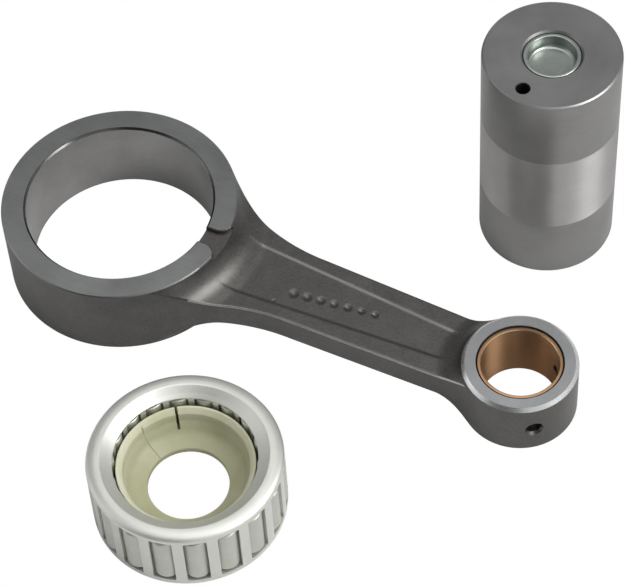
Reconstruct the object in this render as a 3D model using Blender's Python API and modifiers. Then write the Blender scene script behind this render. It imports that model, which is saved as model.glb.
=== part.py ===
"""Single-cylinder engine connecting rod with its crank pin and big-end roller bearing.

The set is laid out on a flat surface: the forged rod lies on its big end, the crank
pin stands on one end, and the caged roller bearing, still on its plastic transport
sleeve, lies beside the shank.  Metres, +Z up, +X from the big end to the small end.
"""
import math

import bpy
import bmesh
from mathutils import Matrix, Vector

MM = 0.001

# ----------------------------------------------------------------- rod forging
BIG_R = 31.5 * MM            # big end, outside radius
BIG_BORE_R = 25.0 * MM       # big end bore: crank pin 36 + two rollers of 7
BIG_H = 22.6 * MM            # big end width
SMALL_R = 15.0 * MM          # small end, outside radius
SMALL_BORE_R = 11.2 * MM     # bore that holds the bush
SMALL_H = 18.0 * MM          # small end width
SMALL_CHAMFER = 0.9 * MM     # broad chamfer round the small end faces
CENTRES = 116.7 * MM         # between the two bore axes
SHANK_T = 8.0 * MM           # shank thickness over the rails
SHANK_W_BIG = 11.0 * MM      # half width where the shank leaves the big end flare
SHANK_W_SMALL = 10.0 * MM    # half width where it meets the small end flare
FLARE_BIG = 54.0 * MM        # plan radius that blends the shank into the big end
FLARE_SMALL = 24.0 * MM      # plan radius that blends it into the small end
NECK_BIG = 9.0 * MM          # fillet from the shank face up to the big end face
NECK_SMALL = 8.0 * MM        # fillet from the shank face up to the small end face
RECESS_D = 0.5 * MM          # depth of the shank recess below the rails
EDGE = 0.5 * MM              # chamfer on the big end bore
EDGE_SMALL = 0.2 * MM        # broken edge on the small end bore
GROOVE_W = 2.5 * MM          # half width of the oil groove in the big end faces
GROOVE_D = 1.3 * MM
OIL_HOLE_R = 2.0 * MM        # oil holes through the small end
OIL_HOLE_ANGLES = (-51.0, 45.0)

# ------------------------------------------------------------------------ bush
BUSH_R = 10.9 * MM
BUSH_BORE_R = 10.0 * MM      # piston pin 20
BUSH_H = 17.4 * MM

# ------------------------------------------------------------------- crank pin
PIN_R = 18.0 * MM            # crank pin 36
PIN_H = 68.0 * MM
PIN_BORE_R = 7.6 * MM        # lightening bore, closed by two cup plugs
PIN_CHAMFER = 0.7 * MM
PIN_AT = (97.7 * MM, 58.98 * MM)
PIN_OIL_R = 1.75 * MM
PIN_OIL_AT = 13.6 * MM       # radius of the off-centre oil feed
PIN_OIL_ANGLE = -98.5
PLUG_R = 7.3 * MM
PLUG_H = 5.0 * MM
PLUG_T = 1.0 * MM
PLUG_INSET = 0.4 * MM

# --------------------------------------------------------------------- bearing
BEARING_AT = (53.25 * MM, -61.72 * MM)
ROLLERS = 18
ROLLER_R = 3.5 * MM          # roller 7 x 15.4
ROLLER_L = 15.4 * MM
PITCH_R = PIN_R + ROLLER_R   # the rollers run on the pin
FIRST_ROLLER = 4.0           # degrees from +X
CAGE_R = 24.9 * MM
CAGE_WALL_OUT = 23.7 * MM
CAGE_WALL_IN = 18.75 * MM
CAGE_BORE_R = 18.35 * MM
CAGE_H = 20.8 * MM
CAGE_FLANGE = 2.2 * MM       # top and bottom flange that the roller ends run against
WINDOW_OUT = 5.9 * MM        # window widths keep each roller from falling out
WINDOW_IN = 4.8 * MM
SLEEVE_R = 17.7 * MM         # transport sleeve stands in for the pin
SLEEVE_H = 16.6 * MM
SLEEVE_T = 1.6 * MM
SLEEVE_HOLE_R = 10.4 * MM
SLEEVE_SLIT = 127.0          # degrees from +X

CUT = 2.0 * MM               # how far a cutter runs past the face it opens


# ------------------------------------------------------------------ the scene
for old in list(bpy.data.objects):
    bpy.data.objects.remove(old, do_unlink=True)
PARTS = bpy.data.collections.new("connecting_rod_set")
CUTTERS = bpy.data.collections.new("cutters")
bpy.context.scene.collection.children.link(PARTS)
bpy.context.scene.collection.children.link(CUTTERS)


def material(name, colour, roughness, metallic):
    mat = bpy.data.materials.new(name)
    mat.use_nodes = True
    shader = mat.node_tree.nodes["Principled BSDF"]
    shader.inputs["Base Color"].default_value = (*colour, 1.0)
    shader.inputs["Roughness"].default_value = roughness
    shader.inputs["Metallic"].default_value = metallic
    mat.diffuse_color = (*colour, 1.0)
    return mat


def place(obj, location=(0.0, 0.0, 0.0), mat=None, cutter=False):
    """Link an object, as a part with its material or as a hidden cutter."""
    obj.location = location
    if cutter:
        CUTTERS.objects.link(obj)
        obj.hide_render = True
        obj.display_type = "WIRE"
    else:
        PARTS.objects.link(obj)
        obj.data.materials.append(mat)
    return obj


def turned(name, profile, steps, location, mat=None, cutter=False, closed=False):
    """Turn a profile of (radius, height) points about Z with a Screw modifier.

    The points run from the top down on the outside.  An open profile starts and ends
    on the axis; a closed one makes a ring."""
    mesh = bpy.data.meshes.new(name)
    verts = [(r, 0.0, z) for r, z in profile]
    edges = [(i, i + 1) for i in range(len(verts) - 1)]
    if closed:
        edges.append((len(verts) - 1, 0))
    mesh.from_pydata(verts, edges, [])
    obj = bpy.data.objects.new(name, mesh)
    screw = obj.modifiers.new("turn", "SCREW")
    screw.axis = "Z"
    screw.angle = math.tau
    screw.steps = steps
    screw.render_steps = steps
    screw.use_merge_vertices = True
    screw.merge_threshold = 1e-6
    screw.use_smooth_shade = True
    return place(obj, location, mat, cutter)


def arc(cx, cy, r, a0, a1, n):
    """n + 1 points along an arc, angles in degrees."""
    return [(cx + r * math.cos(math.radians(a0 + (a1 - a0) * i / n)),
             cy + r * math.sin(math.radians(a0 + (a1 - a0) * i / n)))
            for i in range(n + 1)]


def plate(name, outline, z0, z1, bevel=0.0, resolution=0, mat=None, cutter=False):
    """A flat outline given thickness: a filled 2D curve, turned into a mesh."""
    curve = bpy.data.curves.new(name, "CURVE")
    curve.dimensions = "2D"
    curve.fill_mode = "BOTH"
    curve.extrude = (z1 - z0) / 2 - bevel
    curve.bevel_depth = bevel
    curve.bevel_resolution = resolution
    curve.offset = -bevel
    spline = curve.splines.new("POLY")
    spline.points.add(len(outline) - 1)
    for point, (x, y) in zip(spline.points, outline):
        point.co = (x, y, 0.0, 1.0)
    spline.use_cyclic_u = True
    source = bpy.data.objects.new(name + "_curve", curve)
    bpy.context.scene.collection.objects.link(source)
    source.location = (0.0, 0.0, (z0 + z1) / 2)
    bpy.context.view_layer.update()
    graph = bpy.context.evaluated_depsgraph_get()
    mesh = bpy.data.meshes.new_from_object(source.evaluated_get(graph))
    bm = bmesh.new()
    bm.from_mesh(mesh)
    bmesh.ops.remove_doubles(bm, verts=bm.verts, dist=1e-7)
    bmesh.ops.recalc_face_normals(bm, faces=bm.faces)
    bm.to_mesh(mesh)
    bm.free()
    mesh.name = name
    mesh.materials.clear()
    obj = bpy.data.objects.new(name, mesh)
    matrix = source.matrix_world.copy()
    bpy.data.objects.remove(source, do_unlink=True)
    place(obj, matrix.translation, mat, cutter)
    return obj


def boxed(name, size, location, angle, cutter=True, mat=None):
    """A cube primitive of the given size, turned about Z (degrees)."""
    mesh = bpy.data.meshes.new(name)
    bm = bmesh.new()
    bmesh.ops.create_cube(bm, size=1.0)
    bmesh.ops.scale(bm, vec=Vector(size), verts=bm.verts)
    bm.to_mesh(mesh)
    bm.free()
    obj = place(bpy.data.objects.new(name, mesh), location, mat, cutter)
    obj.rotation_euler = (0.0, 0.0, math.radians(angle))
    return obj


def drill(name, radius, start, end, segments=20):
    """A cylinder primitive from one point to another, for a drilled hole."""
    a, b = Vector(start), Vector(end)
    mesh = bpy.data.meshes.new(name)
    bm = bmesh.new()
    bmesh.ops.create_cone(bm, cap_ends=True, cap_tris=False, segments=segments,
                          radius1=radius, radius2=radius, depth=(b - a).length)
    bm.to_mesh(mesh)
    bm.free()
    obj = place(bpy.data.objects.new(name, mesh), (a + b) / 2, None, True)
    obj.rotation_mode = "QUATERNION"
    obj.rotation_quaternion = (b - a).to_track_quat("Z", "Y")
    return obj


def boolean(obj, other, operation="DIFFERENCE"):
    mod = obj.modifiers.new(other.name, "BOOLEAN")
    mod.operation = operation
    mod.solver = "EXACT"
    mod.object = other
    return mod


def ring(inner, outer, bottom, top):
    """Closed rectangular profile, top down on the outside."""
    return [(outer, top), (outer, bottom), (inner, bottom), (inner, top)]


# ------------------------------------------------------------------- materials
STEEL_FORGED = material("forged_steel", (0.085, 0.082, 0.078), 0.45, 0.85)
BRONZE = material("bronze", (0.42, 0.22, 0.11), 0.32, 0.95)
STEEL_GROUND = material("ground_steel", (0.30, 0.30, 0.31), 0.38, 0.95)
ZINC = material("zinc_plate", (0.72, 0.76, 0.72), 0.30, 0.85)
CAGE_METAL = material("silvered_cage", (0.66, 0.67, 0.62), 0.42, 0.55)
ROLLER_STEEL = material("roller_steel", (0.42, 0.43, 0.40), 0.28, 0.90)
SLEEVE_PLASTIC = material("sleeve_plastic", (0.56, 0.56, 0.42), 0.45, 0.0)

# --------------------------------------------------------- plan of the forging
MID = BIG_H / 2                                  # both ends share this mid plane
SHANK_TOP = MID + SHANK_T / 2
SMALL_TOP = MID + SMALL_H / 2


def flare(side_r, half_width, flare_r):
    """Where a concave plan arc touches an end circle and the shank's side.

    Returns the arc centre (distance along the shank, distance across) and the angle at
    which it leaves the end circle."""
    across = half_width + flare_r
    along = math.sqrt((side_r + flare_r) ** 2 - across ** 2)
    return along, across, math.degrees(math.atan2(across, along))


def forging_outline():
    bx, by, ba = flare(BIG_R, SHANK_W_BIG, FLARE_BIG)
    sx, sy, sa = flare(SMALL_R, SHANK_W_SMALL, FLARE_SMALL)
    upper = arc(0, 0, BIG_R, 180.0, ba, 34)                     # over the top of the big end
    upper += arc(bx, by, FLARE_BIG, ba - 180.0, -90.0, 10)[1:]   # into the shank
    upper += arc(CENTRES - sx, sy, FLARE_SMALL, -90.0, -sa, 6)  # out of the shank
    upper += arc(CENTRES, 0, SMALL_R, 180.0 - sa, 0.0, 28)[1:]  # round the small end
    lower = [(x, -y) for x, y in reversed(upper[1:-1])]
    return upper + lower


def boss_profile(flat_r, fillet, face, top, floor, shift=0.0, chamfer=0.0):
    """Turned solid left standing round a bore when the shank face is milled down to
    floor: a flat land out to flat_r less any chamfer, then a concave fillet."""
    shoulder = face - chamfer
    centre_z = floor + fillet
    centre_r = flat_r + shift + math.sqrt(fillet ** 2 - (centre_z - shoulder) ** 2)
    start = math.degrees(math.asin((centre_z - shoulder) / fillet))
    if top > face:
        points = [(0.0, top), (flat_r + shift, top)]
    elif chamfer:
        points = [(0.0, face), (flat_r + shift - chamfer, face)]
    else:
        points = [(0.0, face)]
    for i in range(6):
        a = math.radians(start + (86.0 - start) * i / 5)
        points.append((centre_r - fillet * math.cos(a), centre_z - fillet * math.sin(a)))
    points += [(points[-1][0] + 0.05 * MM, floor - 0.8 * MM), (0.0, floor - 0.8 * MM)]
    return points


rod = plate("rod_forging", forging_outline(), 0.0, BIG_H, mat=STEEL_FORGED)

# The material above the shank and the small end, less the bosses left round the bores.
relief = plate("relief_top", [(18 * MM, -45 * MM), (140 * MM, -45 * MM), (140 * MM, 45 * MM),
                              (18 * MM, 45 * MM)], SHANK_TOP, BIG_H + CUT, cutter=True)
big_boss = turned("boss_big", boss_profile(BIG_R + 0.3 * MM, NECK_BIG, BIG_H, BIG_H + 2 * CUT,
                                           SHANK_TOP), 96, (0, 0, 0), cutter=True)
small_boss = turned("boss_small", boss_profile(SMALL_R + 0.05 * MM, NECK_SMALL, SMALL_TOP,
                                               SMALL_TOP, SHANK_TOP, chamfer=SMALL_CHAMFER),
                    72, (CENTRES, 0, 0), cutter=True)
boolean(relief, big_boss)
boolean(relief, small_boss)

# The shallow recess between the rails of the shank, narrower towards the small end, with
# sloping edges; its ends run up the neck fillets.
FLOOR = SHANK_TOP - RECESS_D
recess_outline = [(30 * MM, 8.6 * MM), (65 * MM, 6.45 * MM), (100 * MM, 4.3 * MM),
                  (100 * MM, -4.3 * MM), (65 * MM, -6.45 * MM), (30 * MM, -8.6 * MM)]
recess = plate("recess_top", recess_outline, FLOOR, BIG_H + 3 * CUT, bevel=0.45 * MM,
               cutter=True)
recess_big = turned("recess_end_big", boss_profile(BIG_R + 0.3 * MM, NECK_BIG, BIG_H,
                                                   BIG_H + 4 * CUT, FLOOR, 0.6 * MM), 96,
                    (0, 0, 0), cutter=True)
recess_small = turned("recess_end_small",
                      boss_profile(SMALL_R + 0.05 * MM, NECK_SMALL, SMALL_TOP - SMALL_CHAMFER,
                                   BIG_H + 4 * CUT, FLOOR, 0.5 * MM), 72, (CENTRES, 0, 0),
                      cutter=True)
boolean(recess, recess_big)
boolean(recess, recess_small)

# Oil groove across the big end face, flared where it meets the neck.
gw = GROOVE_W
flared = arc(27.4 * MM, gw + 3.6 * MM, 3.6 * MM, -90.0, -10.0, 5)
groove_outline = ([(22 * MM, gw)] + flared
                  + [(36 * MM, gw + 3.8 * MM), (36 * MM, -gw - 3.8 * MM)]
                  + [(x, -y) for x, y in reversed(flared)] + [(22 * MM, -gw)])
groove = plate("groove_top", groove_outline, BIG_H - GROOVE_D, BIG_H + CUT, cutter=True)


def mirrored(source, name):
    """The same cutter on the other side of the mid plane, as evaluated."""
    bpy.context.view_layer.update()
    graph = bpy.context.evaluated_depsgraph_get()
    mesh = bpy.data.meshes.new_from_object(source.evaluated_get(graph))
    mesh.transform(source.matrix_world)
    mesh.transform(Matrix.Translation((0, 0, 2 * MID)) @ Matrix.Scale(-1.0, 4, (0, 0, 1)))
    mesh.flip_normals()
    return place(bpy.data.objects.new(name, mesh), (0, 0, 0), None, True)


for cutter, name in ((relief, "relief_bottom"), (recess, "recess_bottom"),
                     (groove, "groove_bottom")):
    boolean(rod, cutter)
    boolean(rod, mirrored(cutter, name))

# Bores, with a chamfer at each mouth.
big_bore = turned("bore_big", [(0.0, BIG_H + CUT), (BIG_BORE_R + EDGE + CUT, BIG_H + CUT),
                               (BIG_BORE_R, BIG_H - EDGE), (BIG_BORE_R, EDGE),
                               (BIG_BORE_R + EDGE + CUT, -CUT), (0.0, -CUT)],
                  96, (0, 0, 0), cutter=True)
lo, hi = MID - SMALL_H / 2, SMALL_TOP
small_bore = turned("bore_small", [(0.0, hi + CUT), (SMALL_BORE_R + EDGE_SMALL + CUT, hi + CUT),
                                   (SMALL_BORE_R, hi - EDGE_SMALL), (SMALL_BORE_R, lo + EDGE_SMALL),
                                   (SMALL_BORE_R + EDGE_SMALL + CUT, lo - CUT), (0.0, lo - CUT)],
                    64, (CENTRES, 0, 0), cutter=True)
boolean(rod, big_bore)
boolean(rod, small_bore)

# Oil holes through the small end and its bush.
bush_top = MID + BUSH_H / 2
bush_low = MID - BUSH_H / 2
bush = turned("small_end_bush", [(BUSH_R, bush_top), (BUSH_R, bush_low),
                                 (BUSH_BORE_R + 0.2 * MM, bush_low), (BUSH_BORE_R, bush_low + 0.3 * MM),
                                 (BUSH_BORE_R, bush_top - 0.3 * MM), (BUSH_BORE_R + 0.2 * MM, bush_top)],
              64, (CENTRES, 0, 0), BRONZE, closed=True)
for n, deg in enumerate(OIL_HOLE_ANGLES, 1):
    c, s = math.cos(math.radians(deg)), math.sin(math.radians(deg))
    reach = lambda r: (CENTRES + r * c, r * s, MID)
    boolean(rod, drill(f"oil_hole_{n}", OIL_HOLE_R, reach(9 * MM), reach(18 * MM)))
    boolean(bush, drill(f"bush_hole_{n}", 1.6 * MM, reach(8 * MM), reach(13 * MM)))

# -------------------------------------------------------------------- crank pin
px, py = PIN_AT
pin = turned("crank_pin", [(PIN_R - PIN_CHAMFER, PIN_H), (PIN_R, PIN_H - PIN_CHAMFER),
                           (PIN_R, PIN_CHAMFER), (PIN_R - PIN_CHAMFER, 0.0),
                           (PIN_BORE_R + 0.5 * MM, 0.0), (PIN_BORE_R, 0.5 * MM),
                           (PIN_BORE_R, PIN_H - 0.5 * MM), (PIN_BORE_R + 0.5 * MM, PIN_H)],
             72, (px, py, 0), STEEL_GROUND, closed=True)
oc, os_ = math.cos(math.radians(PIN_OIL_ANGLE)), math.sin(math.radians(PIN_OIL_ANGLE))
feed = (px + PIN_OIL_AT * oc, py + PIN_OIL_AT * os_)
boolean(pin, drill("oil_feed", PIN_OIL_R, (*feed, PIN_H / 2 - 1.5 * MM), (*feed, PIN_H + CUT)))
# The cross drilling starts on the far side of the pin, passes the central bore and ends
# in the off-centre feed, which is how oil reaches the rollers.
boolean(pin, drill("oil_cross", 1.5 * MM, (*feed, PIN_H / 2),
                   (px - 20 * MM * oc, py - 20 * MM * os_, PIN_H / 2)))


def cup_profile(mouth, bottom, sign):
    """Pressed cup plug: mouth at the pin's end, floor inside.  sign is +1 for a mouth
    that faces up."""
    r, t = PLUG_R, PLUG_T
    loop = [(0.0, bottom + sign * 1.2 * MM), (r - t - 0.6 * MM, bottom + sign * 1.2 * MM),
            (r - t, bottom + sign * 1.8 * MM), (r - t, mouth), (r, mouth),
            (r, bottom + sign * 0.6 * MM), (r - 0.6 * MM, bottom), (0.0, bottom)]
    return loop if sign > 0 else list(reversed(loop))


turned("pin_plug_top", cup_profile(PIN_H - PLUG_INSET, PIN_H - PLUG_INSET - PLUG_H, 1), 40,
       (px, py, 0), ZINC)
turned("pin_plug_bottom", cup_profile(PLUG_INSET, PLUG_INSET + PLUG_H, -1), 40,
       (px, py, 0), ZINC)

# --------------------------------------------------------- big-end roller bearing
gx, gy = BEARING_AT
cage = turned("bearing_cage", [(CAGE_R - 2.6 * MM, CAGE_H), (CAGE_R - 1.3 * MM, CAGE_H - 0.2 * MM),
                               (CAGE_R - 0.35 * MM, CAGE_H - 0.75 * MM),
                               (CAGE_R, CAGE_H - 1.5 * MM), (CAGE_R, 0.5 * MM),
                               (CAGE_R - 0.5 * MM, 0.0),
                               (CAGE_BORE_R + 1.2 * MM, 0.0), (CAGE_BORE_R, 1.6 * MM),
                               (CAGE_BORE_R, CAGE_H - 1.9 * MM), (19.5 * MM, CAGE_H - 1.2 * MM),
                               (21.3 * MM, CAGE_H)],
              72, (gx, gy, 0), CAGE_METAL, closed=True)
channel = turned("roller_channel", ring(CAGE_WALL_IN, CAGE_WALL_OUT, CAGE_FLANGE,
                                        CAGE_H - CAGE_FLANGE), 72, (gx, gy, 0), cutter=True,
                 closed=True)
boolean(cage, channel)
window_h = CAGE_H - 2 * CAGE_FLANGE - 0.1 * MM
for k in range(ROLLERS):
    deg = FIRST_ROLLER + 360.0 / ROLLERS * k
    c, s = math.cos(math.radians(deg)), math.sin(math.radians(deg))
    mid_z = CAGE_H / 2
    boolean(cage, boxed(f"window_out_{k + 1:02d}", (3 * MM, WINDOW_OUT, window_h),
                        (gx + 24.2 * MM * c, gy + 24.2 * MM * s, mid_z), deg))
    boolean(cage, boxed(f"window_in_{k + 1:02d}", (1.6 * MM, WINDOW_IN, window_h),
                        (gx + 18.5 * MM * c, gy + 18.5 * MM * s, mid_z), deg))

z0 = (CAGE_H - ROLLER_L) / 2
e = 0.35 * MM
for k in range(ROLLERS):
    deg = FIRST_ROLLER + 360.0 / ROLLERS * k
    c, s = math.cos(math.radians(deg)), math.sin(math.radians(deg))
    turned(f"roller_{k + 1:02d}", [(0.0, ROLLER_L), (ROLLER_R - e, ROLLER_L), (ROLLER_R, ROLLER_L - e),
                                   (ROLLER_R, e), (ROLLER_R - e, 0.0), (0.0, 0.0)], 16,
           (gx + PITCH_R * c, gy + PITCH_R * s, z0), ROLLER_STEEL)

# Transport sleeve: a split plastic cup in the pin's place, with a funnel inside.
t = SLEEVE_T
sleeve = turned("transport_sleeve",
                [(SLEEVE_R - 0.4 * MM, SLEEVE_H), (SLEEVE_R, SLEEVE_H - 0.4 * MM), (SLEEVE_R, 0.0),
                 (SLEEVE_R - t, 0.0), (SLEEVE_R - t, 7.6 * MM), (SLEEVE_HOLE_R, 5.9 * MM),
                 (SLEEVE_HOLE_R, 7.7 * MM), (13.4 * MM, 8.7 * MM), (15.4 * MM, 10.1 * MM),
                 (SLEEVE_R - t, 11.7 * MM), (SLEEVE_R - t, SLEEVE_H)],
                72, (gx, gy, 0), SLEEVE_PLASTIC, closed=True)
c, s = math.cos(math.radians(SLEEVE_SLIT)), math.sin(math.radians(SLEEVE_SLIT))
boolean(sleeve, boxed("slit", (5 * MM, 0.7 * MM, 12 * MM),
                      (gx + 17.2 * MM * c, gy + 17.2 * MM * s, 8.4 * MM + 6 * MM), SLEEVE_SLIT))

# ------------------------------------------------- origin: middle of the footprint
x_low, x_high = -BIG_R, CENTRES + SMALL_R
roller_angles = [math.radians(FIRST_ROLLER + 360.0 / ROLLERS * k) for k in range(ROLLERS)]
y_low = gy - max(CAGE_R, ROLLER_R - min(PITCH_R * math.sin(a) for a in roller_angles))
y_high = py + PIN_R
shift = Vector((-(x_low + x_high) / 2, -(y_low + y_high) / 2, 0.0))
for obj in list(PARTS.objects) + list(CUTTERS.objects):
    obj.location = obj.location + shift
bpy.context.view_layer.update()
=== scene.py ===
"""Looks of the connecting rod set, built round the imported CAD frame.

Each visible piece is a fine mesh that stands for its CAD node, with the same
dimensions, and a procedural material.  Metres, +Z up."""

import math

import bmesh
import bpy
import numpy as np
from mathutils import Matrix, Vector


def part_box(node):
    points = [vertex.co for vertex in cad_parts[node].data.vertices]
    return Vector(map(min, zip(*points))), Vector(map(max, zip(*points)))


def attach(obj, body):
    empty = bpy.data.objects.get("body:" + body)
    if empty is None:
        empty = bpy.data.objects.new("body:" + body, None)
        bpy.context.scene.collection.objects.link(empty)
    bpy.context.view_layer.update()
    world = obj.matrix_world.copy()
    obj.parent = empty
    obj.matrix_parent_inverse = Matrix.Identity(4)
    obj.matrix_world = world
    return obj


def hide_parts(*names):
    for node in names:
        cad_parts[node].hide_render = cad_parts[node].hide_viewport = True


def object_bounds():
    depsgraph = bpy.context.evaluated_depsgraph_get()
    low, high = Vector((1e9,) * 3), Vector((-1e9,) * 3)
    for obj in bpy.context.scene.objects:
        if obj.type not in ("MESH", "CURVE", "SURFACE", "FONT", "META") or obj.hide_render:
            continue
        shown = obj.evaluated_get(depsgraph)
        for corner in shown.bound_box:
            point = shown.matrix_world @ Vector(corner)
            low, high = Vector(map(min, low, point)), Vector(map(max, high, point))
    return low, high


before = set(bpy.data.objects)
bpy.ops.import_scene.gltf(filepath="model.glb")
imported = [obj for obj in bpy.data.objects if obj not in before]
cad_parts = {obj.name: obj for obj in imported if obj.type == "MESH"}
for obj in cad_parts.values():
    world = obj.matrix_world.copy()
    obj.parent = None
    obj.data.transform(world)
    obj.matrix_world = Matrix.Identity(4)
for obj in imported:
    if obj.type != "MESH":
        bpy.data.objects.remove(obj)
CAD_LO, CAD_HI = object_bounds()
MM = 0.001

# --------------------------------------------------------------- dimensions, mm
BIG_R, BIG_BORE, BIG_H = 31.5, 25.0, 22.6
SMALL_R, SMALL_BORE, SMALL_H = 15.0, 11.2, 18.0
CENTRES = 116.7
SHANK_T = 8.0
W_BIG, W_SMALL = 11.0, 10.0
FLARE_BIG, FLARE_SMALL = 54.0, 24.0
NECK_BIG, NECK_SMALL = 9.0, 8.0
RECESS_D = 0.25
PITCH_R, ROLLERS, FIRST_ROLLER = 21.5, 18, 4.0
PIN_R, PIN_H = 18.0, 68.0

MID = BIG_H / 2
SHANK_TOP = MID + SHANK_T / 2
SMALL_TOP = MID + SMALL_H / 2


def centre(node):
    lo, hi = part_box(node)
    return (lo + hi) / 2


lo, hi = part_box("rod_forging")
BIG_AT = Vector((lo.x + BIG_R * MM, (lo.y + hi.y) / 2, lo.z))
c = centre("crank_pin")
PIN_AT = Vector((c.x, c.y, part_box("crank_pin")[0].z))
c = centre("transport_sleeve")
BEARING_AT = Vector((c.x, c.y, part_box("transport_sleeve")[0].z))
SMALL_AT = BIG_AT + Vector((CENTRES * MM, 0, 0))


# ==================================================================== materials
def new_material(name):
    mat = bpy.data.materials.new(name)
    mat.use_nodes = True
    nt = mat.node_tree
    shader = nt.nodes["Principled BSDF"]
    return mat, nt, shader


def node(nt, kind, **inputs):
    n = nt.nodes.new(kind)
    for key, value in inputs.items():
        if key in ("operation", "blend_type", "data_type", "noise_dimensions", "feature",
                   "wave_type", "bands_direction", "wave_profile", "direction_type", "axis",
                   "rings_direction", "musgrave_dimensions", "voronoi_dimensions", "clamp_result"):
            setattr(n, key, value)
    return n


def position(nt, scale=(1, 1, 1), offset=(0, 0, 0)):
    """Object-space position, in millimetres times scale, so that grain keeps its size."""
    tc = nt.nodes.new("ShaderNodeTexCoord")
    mp = nt.nodes.new("ShaderNodeMapping")
    mp.inputs["Scale"].default_value = [s / MM for s in scale]
    mp.inputs["Location"].default_value = offset
    nt.links.new(tc.outputs["Object"], mp.inputs["Vector"])
    return mp.outputs["Vector"]


def noise(nt, vec, scale, detail=2.0, rough=0.5):
    n = nt.nodes.new("ShaderNodeTexNoise")
    n.inputs["Scale"].default_value = scale
    n.inputs["Detail"].default_value = detail
    n.inputs["Roughness"].default_value = rough
    nt.links.new(vec, n.inputs["Vector"])
    return n.outputs["Fac"]


def voronoi(nt, vec, scale, feature="F1"):
    n = nt.nodes.new("ShaderNodeTexVoronoi")
    n.feature = feature
    n.inputs["Scale"].default_value = scale
    nt.links.new(vec, n.inputs["Vector"])
    return n.outputs["Distance"]


def ramp(nt, fac, stops):
    n = nt.nodes.new("ShaderNodeValToRGB")
    el = n.color_ramp.elements
    while len(el) < len(stops):
        el.new(0.5)
    for e, (p, col) in zip(el, stops):
        e.position = p
        e.color = (*col, 1.0) if len(col) == 3 else col
    nt.links.new(fac, n.inputs["Fac"])
    return n.outputs["Color"]


def span(nt, fac, a, b, lo_in=0.0, hi_in=1.0):
    n = nt.nodes.new("ShaderNodeMapRange")
    n.inputs["From Min"].default_value = lo_in
    n.inputs["From Max"].default_value = hi_in
    n.inputs["To Min"].default_value = a
    n.inputs["To Max"].default_value = b
    nt.links.new(fac, n.inputs["Value"])
    return n.outputs["Result"]


def math_node(nt, op, a, b):
    n = nt.nodes.new("ShaderNodeMath")
    n.operation = op
    for i, v in enumerate((a, b)):
        if isinstance(v, (int, float)):
            n.inputs[i].default_value = v
        else:
            nt.links.new(v, n.inputs[i])
    return n.outputs[0]


def mix_colour(nt, fac, a, b, blend="MIX"):
    n = nt.nodes.new("ShaderNodeMix")
    n.data_type = "RGBA"
    n.blend_type = blend
    if isinstance(fac, (int, float)):
        n.inputs[0].default_value = fac
    else:
        nt.links.new(fac, n.inputs[0])
    for socket, v in ((6, a), (7, b)):
        if isinstance(v, tuple):
            n.inputs[socket].default_value = (*v, 1.0)
        else:
            nt.links.new(v, n.inputs[socket])
    return n.outputs[2]


def bump(nt, height, strength, distance, normal=None):
    n = nt.nodes.new("ShaderNodeBump")
    n.inputs["Strength"].default_value = strength
    n.inputs["Distance"].default_value = distance
    nt.links.new(height, n.inputs["Height"])
    if normal is not None:
        nt.links.new(normal, n.inputs["Normal"])
    return n.outputs["Normal"]


def metal_forged(name="forged_peened"):
    """Dark shot-peened steel: overlapping dimples about 0.5 mm across, mottled tone."""
    mat, nt, sh = new_material(name)
    vec = position(nt)
    mottle = noise(nt, vec, 0.16, 4.0, 0.55)
    fine = noise(nt, vec, 1.6, 3.0, 0.6)
    base = ramp(nt, mottle, [(0.30, (0.104, 0.102, 0.096)), (0.55, (0.117, 0.114, 0.108)),
                             (0.75, (0.130, 0.127, 0.121))])
    grain = ramp(nt, fine, [(0.30, (0.82, 0.82, 0.82)), (0.70, (1.12, 1.12, 1.12))])
    nt.links.new(mix_colour(nt, 1.0, base, grain, "MULTIPLY"), sh.inputs["Base Color"])
    sh.inputs["Metallic"].default_value = 0.90
    sh.inputs["Specular IOR Level"].default_value = 0.5
    nt.links.new(span(nt, fine, 0.31, 0.45), sh.inputs["Roughness"])
    dimple = voronoi(nt, vec, 2.2, "SMOOTH_F1")
    n1 = bump(nt, dimple, 0.15, 0.00012)
    n2 = bump(nt, fine, 0.09, 0.00008, n1)
    nt.links.new(n2, sh.inputs["Normal"])
    return mat


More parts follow.
